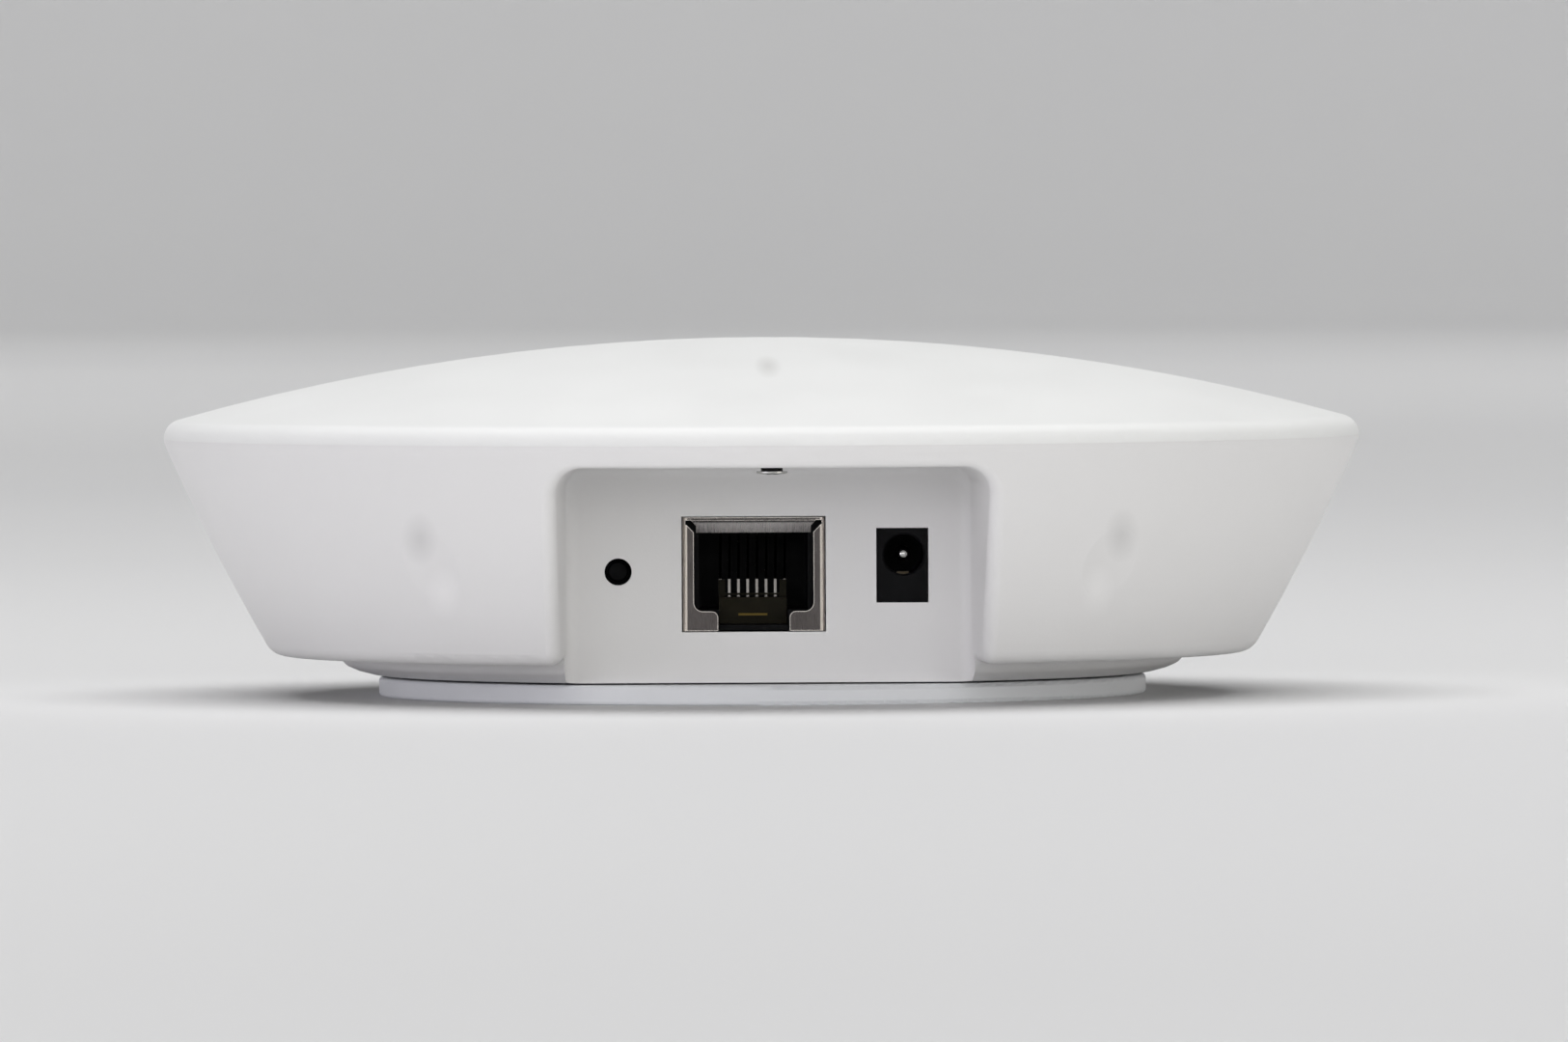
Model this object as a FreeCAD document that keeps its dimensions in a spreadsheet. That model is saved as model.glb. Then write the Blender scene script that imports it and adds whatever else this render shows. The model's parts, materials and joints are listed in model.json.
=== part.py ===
import FreeCAD, Part
import math
import os
import Sketcher

# Ceiling access point, lying dome-up on its twist-lock mount plate.
# Row frame: origin at the centre of the plate's ceiling face, +Z from the ceiling into the
# room, the port bay on the -Y side. Millimetres and degrees.

doc = FreeCAD.newDocument("access_point")
dims = doc.addObject("Spreadsheet::Sheet", "dims")


class Size:
    """A length or angle that carries its number and its spreadsheet expression."""

    def __init__(self, number, text):
        self.number = float(number)
        self.text = text

    def __add__(self, other):
        other = as_size(other)
        return Size(self.number + other.number, f"({self.text} + {other.text})")

    def __radd__(self, other):
        return as_size(other) + self

    def __sub__(self, other):
        other = as_size(other)
        return Size(self.number - other.number, f"({self.text} - {other.text})")

    def __rsub__(self, other):
        return as_size(other) - self

    def __mul__(self, other):
        other = as_size(other)
        return Size(self.number * other.number, f"({self.text} * {other.text})")

    def __rmul__(self, other):
        return as_size(other) * self

    def __truediv__(self, other):
        other = as_size(other)
        return Size(self.number / other.number, f"({self.text} / {other.text})")

    def __neg__(self):
        return as_size(0) - self


def as_size(value):
    if isinstance(value, Size):
        return value
    return Size(value, f"({float(value):.6f})")


def root(value):
    return Size(math.sqrt(value.number), f"sqrt({value.text})")


def cosine(angle):
    return Size(math.cos(math.radians(angle.number)), f"cos({angle.text})")


def sine(angle):
    return Size(math.sin(math.radians(angle.number)), f"sin({angle.text})")


sheet_row = 0


def driving(alias, number, note):
    """Write one driving dimension into the sheet and return it as a Size."""
    global sheet_row
    sheet_row = sheet_row + 1
    dims.set(f"A{sheet_row}", note)
    dims.set(f"B{sheet_row}", str(number))
    dims.setAlias(f"B{sheet_row}", alias)
    return Size(number, f"dims.{alias}")


# ---------------------------------------------------------------- driving dimensions

rim_radius = driving("rim_radius", 67.0, "widest radius, at the parting line")
rim_round = driving("rim_round", 2.2, "round between dome and side")
part_line = driving("part_line", 28.9, "height of the line between cover and housing")
seam_gap = driving("seam_gap", 0.01, "hairline between cover and housing")
dome_top = driving("dome_top", 40.0, "overall height")
side_lean = driving("side_lean", 24.0, "lean of the side where it leaves the rim")
side_radius = driving("side_radius", 250.0, "radius of the gently bowed side")
wall = driving("wall", 2.0, "general plastic wall")
floor_height = driving("floor_height", 4.6, "height of the housing underside")
corner_round = driving("corner_round", 2.5, "round between side and underside")

boss_radius = driving("boss_radius", 47.2, "round platform under the housing")
boss_flat = driving("boss_flat", 42.2, "radius of the platform's flat underside")
boss_corner = driving("boss_corner", 1.4, "tight part of the platform's rounded edge")
boss_bottom = driving("boss_bottom", 2.35, "height of the platform's underside")

plate_radius = driving("plate_radius", 43.0, "mount plate radius")
plate_thick = driving("plate_thick", 2.15, "mount plate thickness")
spigot_radius = driving("spigot_radius", 10.93, "centring spigot under the housing")
spigot_play = driving("spigot_play", 0.07, "running clearance round the spigot")
screw_circle = driving("screw_circle", 60.0, "pitch circle of the ceiling screws")
screw_hole = driving("screw_hole", 2.1, "radius of each ceiling screw hole")
lug_circle = driving("lug_circle", 32.0, "radius at which the bayonet lugs stand")
lug_neck = driving("lug_neck", 2.0, "radius of a lug's neck")
lug_head = driving("lug_head", 3.8, "radius of a lug's head")
lug_head_thick = driving("lug_head_thick", 1.2, "thickness of a lug's head")
lug_play = driving("lug_play", 0.1, "play under a lug's head")
slot_play = driving("slot_play", 0.4, "play round neck and head in the housing")
twist = driving("twist", 18.0, "turn from locked to released")

panel_face = driving("panel_face", 37.0, "distance of the port panel in front of the axis")
bay_far = driving("bay_far", 70.0, "distance at which the bay's outer section is drawn")
bay_half_rear = driving("bay_half_rear", 22.3, "half width of the bay at the panel")
bay_half_front = driving("bay_half_front", 24.3, "half width of the bay's outer section")
bay_roof = driving("bay_roof", 26.5, "bay roof height")
bay_corner = driving("bay_corner", 3.0, "radius of the bay's upper corners")
bay_mouth_round = driving("bay_mouth_round", 1.2, "round on the bay's outer edges")
bay_inner_round = driving("bay_inner_round", 1.5, "round where panel meets bay walls")

board_bottom = driving("board_bottom", 9.5, "underside of the circuit board")
board_thick = driving("board_thick", 1.6, "circuit board thickness")
board_radius = driving("board_radius", 51.5, "circuit board radius")
board_front = driving("board_front", 34.4, "distance of the board's straight front edge")

jack_x = driving("jack_x", -1.65, "network jack centre across the bay")
jack_bottom = driving("jack_bottom", 8.05, "underside of the network jack")
jack_wide = driving("jack_wide", 15.65, "network jack shield width")
jack_high = driving("jack_high", 12.5, "network jack shield height")
jack_deep = driving("jack_deep", 15.5, "network jack shield depth")
jack_face = driving("jack_face", 36.8, "distance of the jack's front edge")
jack_sheet = driving("jack_sheet", 0.3, "shield sheet thickness")
jack_gap = driving("jack_gap", 0.12, "gap between shield and panel window")
contact_pitch = driving("contact_pitch", 1.016, "pitch of the eight jack contacts")

power_x = driving("power_x", 14.72, "power jack centre across the bay")
pin_x = driving("pin_x", 14.9, "power jack pin across the bay")
power_wide = driving("power_wide", 5.5, "power jack width")
power_high = driving("power_high", 8.1, "power jack height")
power_deep = driving("power_deep", 11.5, "power jack depth")
power_axis = driving("power_axis", 16.4, "height of the power jack's pin")
power_bore = driving("power_bore", 2.2, "radius of the power jack's opening")
power_pin = driving("power_pin", 0.83, "radius of the power jack's pin")

reset_x = driving("reset_x", -16.58, "reset hole across the bay")
reset_z = driving("reset_z", 14.6, "reset hole height")
reset_hole = driving("reset_hole", 1.5, "radius of the reset hole")
button_radius = driving("button_radius", 1.15, "radius of the reset plunger")
button_play = driving("button_play", 0.05, "running clearance round the plunger")

lock_screw_y = driving("lock_screw_y", 56.0, "distance of the cover screw from the axis")
sink_turn = driving("sink_turn", 37.7, "angle of each sink mark from the bay's middle")
sink_height = driving("sink_height", 15.6, "height of the sink marks on the side")
sink_radius = driving("sink_radius", 38.0, "radius of the shallow sink marks")
sink_depth = driving("sink_depth", 0.28, "depth of the sink marks")
lamp_y = driving("lamp_y", 36.5, "distance of the hidden lamp window from the axis")

# ---------------------------------------------------------------- drawing helpers


def bind(thing, prop, size):
    """Tie a property of an object to an expression of the sheet."""
    thing.setExpression(prop, as_size(size).text)


def place(thing, x=0, y=0, z=0, rotation=None):
    """Put a primitive at a position made of sheet expressions."""
    start = FreeCAD.Vector(as_size(x).number, as_size(y).number, as_size(z).number)
    thing.Placement = FreeCAD.Placement(start, rotation or FreeCAD.Rotation())
    bind(thing, "Placement.Base.x", x)
    bind(thing, "Placement.Base.y", y)
    bind(thing, "Placement.Base.z", z)


def block(name, x, y, z, wide, deep, high):
    """Box with its low corner at x, y, z."""
    box = doc.addObject("Part::Box", name)
    bind(box, "Length", wide)
    bind(box, "Width", deep)
    bind(box, "Height", high)
    place(box, x, y, z)
    return box


def centred_block(name, x, y, z, wide, deep, high):
    """Box centred on x and y, standing on z."""
    return block(name, x - as_size(wide) / 2, y - as_size(deep) / 2, z, wide, deep, high)


def rod(name, x, y, z, radius, high, rotation=None):
    """Cylinder rising from x, y, z along +Z, or along the rotated axis."""
    cylinder = doc.addObject("Part::Cylinder", name)
    bind(cylinder, "Radius", radius)
    bind(cylinder, "Height", high)
    place(cylinder, x, y, z, rotation)
    return cylinder


def cone(name, x, y, z, low_radius, high_radius, high, rotation=None):
    frustum = doc.addObject("Part::Cone", name)
    bind(frustum, "Radius1", low_radius)
    bind(frustum, "Radius2", high_radius)
    bind(frustum, "Height", high)
    place(frustum, x, y, z, rotation)
    return frustum


def taper(name, near, far):
    """Rectangular funnel solid along +Y; near and far are (y, x0, x1, z0, z1)."""
    wedge = doc.addObject("Part::Wedge", name)
    for prop, size in zip(("Ymin", "Xmin", "Xmax", "Zmin", "Zmax"), near):
        bind(wedge, prop, size)
    for prop, size in zip(("Ymax", "X2min", "X2max", "Z2min", "Z2max"), far):
        bind(wedge, prop, size)
    return wedge


def cut(name, base, *tools):
    """Base with every tool removed."""
    tool = tools[0] if len(tools) == 1 else fuse(f"{name}_tools", *tools)
    result = doc.addObject("Part::Cut", name)
    result.Base = base
    result.Tool = tool
    return result


def fuse(name, *pieces):
    result = doc.addObject("Part::MultiFuse", name)
    result.Shapes = list(pieces)
    return result


def group(name, *pieces):
    """Separate solids that make up one named sub-part."""
    result = doc.addObject("Part::Compound", name)
    result.Links = list(pieces)
    return result


def about_z(degrees):
    return FreeCAD.Rotation(FreeCAD.Vector(0, 0, 1), degrees)


TOWARD_FRONT = FreeCAD.Rotation(FreeCAD.Vector(1, 0, 0), 90)


def sector(name, low_radius, high_radius, low_z, high_z, first_degree, last_degree):
    """Piece of a ring between two angles about the axis."""
    pieces = []
    for role, radius in (("outer", high_radius), ("inner", low_radius)):
        slice_of = rod(f"{name}_{role}", 0, 0, low_z, radius, high_z - as_size(low_z),
                       about_z(first_degree))
        slice_of.Angle = last_degree - first_degree
        pieces.append(slice_of)
    return cut(name, pieces[0], pieces[1])


def new_body(name):
    return doc.addObject("PartDesign::Body", name)


def sketch_on(body, name, role, offset=0):
    """Sketch on one of the body's own origin planes, moved along the plane's normal."""
    sketch = body.newObject("Sketcher::SketchObject", name)
    plane = [feature for feature in body.Origin.OriginFeatures if feature.Role == role][0]
    sketch.AttachmentSupport = [(plane, "")]
    sketch.MapMode = "FlatFace"
    bind(sketch, "AttachmentOffset.Base.z", offset)
    return sketch


def pin_coordinate(sketch, kind, axis, geometry, end, size):
    size = as_size(size)
    if abs(size.number) < 1e-9:
        sketch.addConstraint(Sketcher.Constraint("PointOnObject", geometry, end, axis))
        return
    index = sketch.addConstraint(
        Sketcher.Constraint(kind, -1, 1, geometry, end, size.number))
    sketch.setExpression(f"Constraints[{index}]", size.text)


def pin(sketch, geometry, end, x, y):
    """Fix one point of a sketch by expressions."""
    pin_coordinate(sketch, "DistanceX", -2, geometry, end, x)
    pin_coordinate(sketch, "DistanceY", -1, geometry, end, y)


def pin_radius(sketch, geometry, radius):
    radius = as_size(radius)
    index = sketch.addConstraint(Sketcher.Constraint("Radius", geometry, radius.number))
    sketch.setExpression(f"Constraints[{index}]", radius.text)


def flat(x, y):
    return FreeCAD.Vector(as_size(x).number, as_size(y).number, 0)


def outline(sketch, corners, closed=True):
    """Draw an outline. A corner is (x, y), or (x, y, centre_x, centre_y, radius, turn) when
    the run to the next corner is an arc; turn is +1 counter-clockwise and -1 clockwise."""
    first = sketch.GeometryCount
    total = len(corners)
    runs = total if closed else total - 1
    ends = []
    for index in range(runs):
        corner = corners[index]
        following = corners[(index + 1) % total]
        start = flat(corner[0], corner[1])
        finish = flat(following[0], following[1])
        if len(corner) == 2:
            sketch.addGeometry(Part.LineSegment(start, finish), False)
            ends.append((1, 2))
            continue
        centre = flat(corner[2], corner[3])
        circle = Part.Circle(centre, FreeCAD.Vector(0, 0, 1), as_size(corner[4]).number)
        start_angle = math.atan2(start.y - centre.y, start.x - centre.x)
        finish_angle = math.atan2(finish.y - centre.y, finish.x - centre.x)
        if corner[5] > 0:
            arc = Part.ArcOfCircle(circle, start_angle, finish_angle)
            ends.append((1, 2))
        else:
            arc = Part.ArcOfCircle(circle, finish_angle, start_angle)
            ends.append((2, 1))
        sketch.addGeometry(arc, False)
    for index in range(runs):
        following = (index + 1) % runs
        if closed or index + 1 < runs:
            sketch.addConstraint(Sketcher.Constraint(
                "Coincident", first + index, ends[index][1], first + following,
                ends[following][0]))
    for index in range(runs):
        corner = corners[index]
        pin(sketch, first + index, ends[index][0], corner[0], corner[1])
        if len(corner) > 2:
            pin_radius(sketch, first + index, corner[4])
    if not closed:
        pin(sketch, first + runs - 1, ends[runs - 1][1], corners[-1][0], corners[-1][1])


def ring(sketch, x, y, radius):
    """Full circle in a sketch."""
    circle = Part.Circle(flat(x, y), FreeCAD.Vector(0, 0, 1), as_size(radius).number)
    geometry = sketch.addGeometry(circle, False)
    pin(sketch, geometry, 3, x, y)
    pin_radius(sketch, geometry, radius)


def pad(body, sketch, length):
    feature = body.newObject("PartDesign::Pad", f"{sketch.Name}_pad")
    feature.Profile = sketch
    bind(feature, "Length", length)
    sketch.Visibility = False
    return feature


def revolve(body, sketch):
    feature = body.newObject("PartDesign::Revolution", f"{sketch.Name}_turned")
    feature.Profile = sketch
    feature.ReferenceAxis = (sketch, ["V_Axis"])
    feature.Angle = 360.0
    sketch.Visibility = False
    return feature


def edges_where(shape, wanted):
    """Names of the edges whose middle point satisfies a test."""
    names = []
    for index, edge in enumerate(shape.Edges):
        middle = edge.valueAt((edge.FirstParameter + edge.LastParameter) / 2)
        if wanted(middle, edge):
            names.append(f"Edge{index + 1}")
    return names


def rounded(name, base, radius, wanted):
    """Round the edges of a finished solid that satisfy a test."""
    doc.recompute()
    fillet = doc.addObject("Part::Fillet", name)
    fillet.Base = base
    numbers = [int(edge[4:]) for edge in edges_where(base.Shape, wanted)]
    fillet.Edges = [(number, radius.number, radius.number) for number in numbers]
    return fillet


# ---------------------------------------------------------------- shared outlines

rim_centre = rim_radius - rim_round
rise = dome_top - part_line
dome_radius = ((rim_centre * rim_centre + rise * rise - rim_round * rim_round)
               / (2 * (rise - rim_round)))
dome_centre = dome_top - dome_radius
dome_reach = dome_radius / (dome_radius - rim_round)
dome_end_r = rim_centre * dome_reach
dome_end_z = dome_centre + (part_line - dome_centre) * dome_reach

side_centre_r = rim_centre - (side_radius - rim_round) * cosine(side_lean)
side_centre_z = part_line + (side_radius - rim_round) * sine(side_lean)
side_start_r = rim_centre + rim_round * cosine(side_lean)
side_start_z = part_line - rim_round * sine(side_lean)
housing_top = part_line - seam_gap / 2
cover_bottom = part_line + seam_gap / 2
board_top = board_bottom + board_thick
inner_floor = boss_bottom + wall
panel_rear = panel_face - wall


def side_at(height, inset=0):
    """Radius of the housing's side, or of a surface inside it, at a height."""
    radius = side_radius - inset
    drop = side_centre_z - height
    return side_centre_r + root(radius * radius - drop * drop)


def dome_at(radius, inset=0):
    """Height of the dome, or of a surface below it, at a radius."""
    sphere = dome_radius - inset
    return dome_centre + root(sphere * sphere - as_size(radius) * radius)


barb_low = part_line - 6.0
barb_radius = side_at(barb_low, wall) - 0.2

# ---------------------------------------------------------------- mount plate

LUG_DEGREES = (45, 135, 225, 315)
SCREW_DEGREES = (0, 90, 180, 270)


def around(radius, degrees):
    """Position on a circle about the axis."""
    turn = as_size(degrees)
    return radius * cosine(turn), radius * sine(turn)


def mount_plate():
    body = new_body("plate_disc")
    sketch = sketch_on(body, "plate_outline", "XY_Plane")
    ring(sketch, 0, 0, plate_radius)
    ring(sketch, 0, 0, spigot_radius + spigot_play)
    for degrees in SCREW_DEGREES:
        x, y = around(screw_circle / 2, degrees)
        ring(sketch, x, y, screw_hole)
    pad(body, sketch, plate_thick)
    pieces = [body]
    for degrees in LUG_DEGREES:
        x, y = around(lug_circle, degrees)
        head_low = inner_floor + lug_play
        pieces.append(rod(f"lug_neck_{degrees}", x, y, plate_thick / 2, lug_neck,
                          head_low - plate_thick / 2))
        pieces.append(rod(f"lug_head_{degrees}", x, y, head_low, lug_head,
                          lug_head_thick * 0.6))
        pieces.append(cone(f"lug_crown_{degrees}", x, y, head_low + lug_head_thick * 0.6,
                           lug_head, lug_head - lug_head_thick * 0.4,
                           lug_head_thick * 0.4))
    solid = fuse("plate_with_lugs", *pieces)
    sinks = []
    for degrees in SCREW_DEGREES:
        x, y = around(screw_circle / 2, degrees)
        sinks.append(cone(f"plate_sink_{degrees}", x, y, plate_thick - 1.0, screw_hole,
                          screw_hole + 1.2, 1.2))
    sunk = cut("plate_sunk", solid, *sinks)

    def outer_edge(middle, edge):
        return edge.Closed and math.hypot(middle.x, middle.y) > plate_radius.number - 0.01
    return rounded("mount_plate", sunk, as_size(0.45), outer_edge)


# ---------------------------------------------------------------- bottom housing


def housing_outer():
    """Outer solid of the housing, up to the parting line."""
    body = new_body("housing_outer")
    sketch = sketch_on(body, "housing_outer_outline", "XZ_Plane")
    span = boss_radius - boss_corner - boss_flat
    height = floor_height - boss_bottom
    sweep = ((span * span + height * height - boss_corner * boss_corner)
             / (2 * (height - boss_corner)))
    share = boss_corner / (sweep - boss_corner)
    meet_r = boss_radius - boss_corner + span * share
    meet_z = floor_height - (boss_bottom + sweep - floor_height) * share
    corner_z = floor_height + corner_round
    corner_r = side_at(corner_z, corner_round)
    reach = side_radius / (side_radius - corner_round)
    corner_end_r = side_centre_r + (corner_r - side_centre_r) * reach
    corner_end_z = side_centre_z + (corner_z - side_centre_z) * reach
    top_r = rim_centre + root(rim_round * rim_round - seam_gap * seam_gap / 4)
    outline(sketch, [
        (0, boss_bottom),
        (boss_flat, boss_bottom, boss_flat, boss_bottom + sweep, sweep, 1),
        (meet_r, meet_z, boss_radius - boss_corner, floor_height, boss_corner, 1),
        (boss_radius, floor_height),
        (corner_r, floor_height, corner_r, corner_z, corner_round, 1),
        (corner_end_r, corner_end_z, side_centre_r, side_centre_z, side_radius, 1),
        (side_start_r, side_start_z, rim_centre, part_line, rim_round, 1),
        (top_r, housing_top),
        (0, housing_top),
    ])
    revolve(body, sketch)
    return body


def bay_space():
    """The air of the port bay, open downward and to the front."""
    body = new_body("bay_space")
    plan = sketch_on(body, "bay_plan", "XY_Plane")
    outline(plan, [
        (-bay_half_rear, -panel_face),
        (-bay_half_front, -bay_far),
        (bay_half_front, -bay_far),
        (bay_half_rear, -panel_face),
    ])
    raised = pad(body, plan, bay_roof)
    doc.recompute()

    def roof_side(middle, edge):
        return abs(middle.z - bay_roof.number) < 0.01 and abs(middle.x) > 20
    corners = body.newObject("PartDesign::Fillet", "bay_corners")
    corners.Base = (raised, edges_where(raised.Shape, roof_side))
    bind(corners, "Radius", bay_corner)
    doc.recompute()

    def panel_edge(middle, edge):
        return abs(middle.y + panel_face.number) < 0.01 and middle.z > 0.5
    inner = body.newObject("PartDesign::Fillet", "bay_inner_rounding")
    inner.Base = (corners, edges_where(corners.Shape, panel_edge))
    bind(inner, "Radius", bay_inner_round)
    body.Tip = inner
    return body


def housing_cavity():
    """Inside space of the housing, with the walls round the bay left standing."""
    body = new_body("cavity_turned")
    sketch = sketch_on(body, "cavity_outline", "XZ_Plane")
    high_floor = floor_height + wall
    step_r = boss_radius - wall - 0.6
    low_r = side_at(high_floor, wall)
    top_r = side_at(housing_top + 1, wall)
    outline(sketch, [
        (0, inner_floor),
        (step_r, inner_floor),
        (step_r, high_floor),
        (low_r, high_floor, side_centre_r, side_centre_z, side_radius - wall, 1),
        (top_r, housing_top + 1),
        (0, housing_top + 1),
    ])
    revolve(body, sketch)
    walls = new_body("bay_walls")
    plan = sketch_on(walls, "bay_walls_plan", "XY_Plane")
    outline(plan, [
        (-(bay_half_rear + wall), -panel_rear),
        (-(bay_half_front + wall), -(bay_far + wall)),
        (bay_half_front + wall, -(bay_far + wall)),
        (bay_half_rear + wall, -panel_rear),
    ])
    pad(walls, plan, dome_top)
    return cut("housing_cavity", body, walls)


def panel_windows():
    """Tools that open the port panel for the two jacks and the reset pin."""
    depth = wall + 2
    jack = centred_block("jack_window", jack_x, -(panel_face - wall / 2),
                         jack_bottom - jack_gap, jack_wide + 2 * jack_gap, depth,
                         jack_high + 2 * jack_gap)
    power = centred_block("power_window", power_x, -(panel_face - wall / 2),
                          board_top, power_wide + 2 * jack_gap, depth,
                          power_high + jack_gap)
    reset = rod("reset_window", reset_x, 1 - panel_rear, reset_z, reset_hole, depth,
                TOWARD_FRONT)
    return [jack, power, reset]


STANDOFFS = ((34, 26), (-34, 26), (38, -16), (-38, -16))


def bayonet_parts():
    """Closed pockets over the keyhole slots, and the tools that hollow them."""
    reach = lug_head + slot_play
    covers = []
    tools = []
    side_degrees = math.degrees(reach.number / lug_circle.number)
    pocket_top = inner_floor + lug_play + lug_head_thick + slot_play
    for degrees in LUG_DEGREES:
        first = degrees - twist.number - side_degrees
        last = degrees + side_degrees
        covers.append(sector(f"pocket_cover_{degrees}", lug_circle - reach - 1.2,
                             lug_circle + reach + 1.2, inner_floor - 0.5,
                             pocket_top + 1.2, first - 2.2, last + 2.2))
        tools.append(sector(f"pocket_{degrees}", lug_circle - reach, lug_circle + reach,
                            inner_floor, pocket_top, first, last))
        tools.append(sector(f"slot_{degrees}", lug_circle - lug_neck - slot_play,
                            lug_circle + lug_neck + slot_play, boss_bottom - 1,
                            inner_floor + 0.5, degrees - twist.number, degrees))
        x, y = around(lug_circle, degrees)
        tools.append(rod(f"slot_end_{degrees}", x, y, boss_bottom - 1,
                         lug_neck + slot_play, wall + 1.5))
        x, y = around(lug_circle, as_size(degrees) - twist)
        tools.append(rod(f"slot_entry_{degrees}", x, y, boss_bottom - 1, reach,
                         wall + 1.5))
    return covers, tools


def sink_marks():
    """Two shallow hollows where thick ribs have drawn in the side as it cooled."""
    normal_r = (side_at(sink_height) - side_centre_r) / side_radius
    normal_z = (sink_height - side_centre_z) / side_radius
    reach = sink_radius - sink_depth
    balls = []
    for side in (-1, 1):
        ball = doc.addObject("Part::Sphere", f"sink_mark_{side + 1}")
        bind(ball, "Radius", sink_radius)
        out = side_at(sink_height) + normal_r * reach
        place(ball, side * (out * sine(sink_turn)), -(out * cosine(sink_turn)),
              sink_height + normal_z * reach)
        balls.append(ball)
    return balls


CATCH_DEGREES = (30, 90, 150)


def bottom_housing():
    shell = cut("housing_notched", housing_outer(), bay_space())

    def mouth_edge(middle, edge):
        if middle.y > -panel_face.number - 1 or not floor_height.number < middle.z < 27:
            return False
        return abs(math.hypot(middle.x, middle.y) - side_at(middle.z).number) < 0.9
    mouth = rounded("housing_mouth", shell, bay_mouth_round, mouth_edge)
    hollow = cut("housing_hollow", mouth, housing_cavity())

    covers, tools = bayonet_parts()
    added = list(covers)
    for index, (x, y) in enumerate(STANDOFFS):
        added.append(rod(f"standoff_{index}", x, y, inner_floor - 0.5, 3.0,
                         board_bottom - inner_floor + 0.5))
        tools.append(rod(f"standoff_bore_{index}", x, y, inner_floor + 0.8, 1.15,
                         board_bottom))
    added.append(rod("spigot", 0, 0, 0.35, spigot_radius, inner_floor - 0.85))
    tools.append(rod("spigot_hollow", 0, 0, 0, spigot_radius - wall, boss_bottom))
    for degrees in CATCH_DEGREES:
        catch_low = part_line - 4.4
        added.append(sector(f"catch_{degrees}", barb_radius - 0.45,
                            side_at(catch_low, wall) + 0.5,
                            catch_low, catch_low + 1.0, degrees - 4, degrees + 4))
    solid = fuse("housing_solid", hollow, *added)
    tools.append(rod("lock_screw_hole", 0, -lock_screw_y, bay_roof - 2, 1.2, 8))
    tools.append(rod("lock_screw_seat", 0, -lock_screw_y, bay_roof - 2, 2.1, 2.3))
    return cut("bottom_housing", solid, *tools, *panel_windows(), *sink_marks())


# ---------------------------------------------------------------- top cover


def cover_shell():
    body = new_body("cover_turned")
    sketch = sketch_on(body, "cover_outline", "XZ_Plane")
    inner_r = rim_centre - 0.5
    inner_end = dome_at(inner_r, wall)
    rim_r = rim_centre + root(rim_round * rim_round - seam_gap * seam_gap / 4)
    outline(sketch, [
        (0, dome_top - wall, 0, dome_centre, dome_radius - wall, -1),
        (inner_r, inner_end),
        (inner_r, cover_bottom),
        (rim_r, cover_bottom, rim_centre, part_line, rim_round, 1),
        (dome_end_r, dome_end_z, 0, dome_centre, dome_radius, 1),
        (0, dome_top),
    ])
    revolve(body, sketch)
    return body


def cover_lip():
    """Locating lip that drops inside the housing, open where the bay is."""
    lip_r = rim_centre - 0.9
    lip_low = part_line - 2.0
    outer = rod("lip_outer", 0, 0, lip_low, lip_r, 3.6)
    inner = rod("lip_inner", 0, 0, lip_low - 1, lip_r - 1.5, 6)
    gap = centred_block("lip_gap", 0, -(bay_far - 10), lip_low - 1,
                        2 * (bay_half_front + wall + 0.6), 30, 6)
    return cut("cover_lip", outer, inner, gap)


def cover_hooks():
    """Snap hooks that catch under the ribs inside the housing."""
    pieces = []
    lip_inner = rim_centre - 2.4
    for degrees in CATCH_DEGREES:
        pieces.append(sector(f"hook_{degrees}", barb_radius - 1.9, barb_radius - 0.6,
                             barb_low - 0.4, dome_at(lip_inner, wall) + 0.4,
                             degrees - 3, degrees + 3))
        pieces.append(sector(f"hook_barb_{degrees}", barb_radius - 0.8, barb_radius,
                             barb_low, barb_low + 1.5, degrees - 3, degrees + 3))
    return pieces


def top_cover():
    boss = rod("lock_boss", 0, -lock_screw_y, cover_bottom, 3.2,
               dome_at(lock_screw_y, wall) - cover_bottom + 0.5)
    seat = rod("lamp_seat", 0, -lamp_y, dome_at(lamp_y, wall) - 1.6, 2.4, 2.4)
    solid = fuse("cover_solid", cover_shell(), cover_lip(), boss, seat, *cover_hooks())
    bore = rod("lock_bore", 0, -lock_screw_y, cover_bottom - 1, 1.0, 4.4)
    lamp = rod("lamp_socket", 0, -lamp_y, dome_at(lamp_y, wall) - 3, 1.3, 4.2)
    return cut("top_cover", solid, bore, lamp)


# ---------------------------------------------------------------- circuit board

jack_side = jack_wide / 2 + 0.35
jack_back = jack_face - jack_deep


def main_board():
    body = new_body("board_blank")
    sketch = sketch_on(body, "board_outline", "XY_Plane", board_bottom)
    half_front = root(board_radius * board_radius - board_front * board_front)
    outline(sketch, [
        (half_front, -board_front, 0, 0, board_radius, 1),
        (-half_front, -board_front),
        (jack_x - jack_side, -board_front),
        (jack_x - jack_side, 0.4 - jack_back),
        (jack_x + jack_side, 0.4 - jack_back),
        (jack_x + jack_side, -board_front),
    ])
    for x, y in STANDOFFS:
        ring(sketch, x, y, 1.4)
    pad(body, sketch, board_thick)
    body.Label = "main_board"
    return body


def board_screw(index, x, y):
    """Pan-head thread-forming screw with a cross recess."""
    head = rod(f"screw_head_{index}", x, y, board_top, 2.3, 1.0)
    crown = cone(f"screw_crown_{index}", x, y, board_top + 1.0, 2.3, 1.6, 0.6)
    shank = rod(f"screw_shank_{index}", x, y, inner_floor + 1.2, 1.1,
                board_top - inner_floor - 1.0)
    slot = centred_block(f"screw_slot_{index}", x, y, board_top + 0.7, 2.2, 0.5, 2)
    cross = centred_block(f"screw_cross_{index}", x, y, board_top + 0.7, 0.5, 2.2, 2)
    return cut(f"board_screw_{index}", fuse(f"screw_{index}", head, crown, shank), slot,
               cross)


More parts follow.
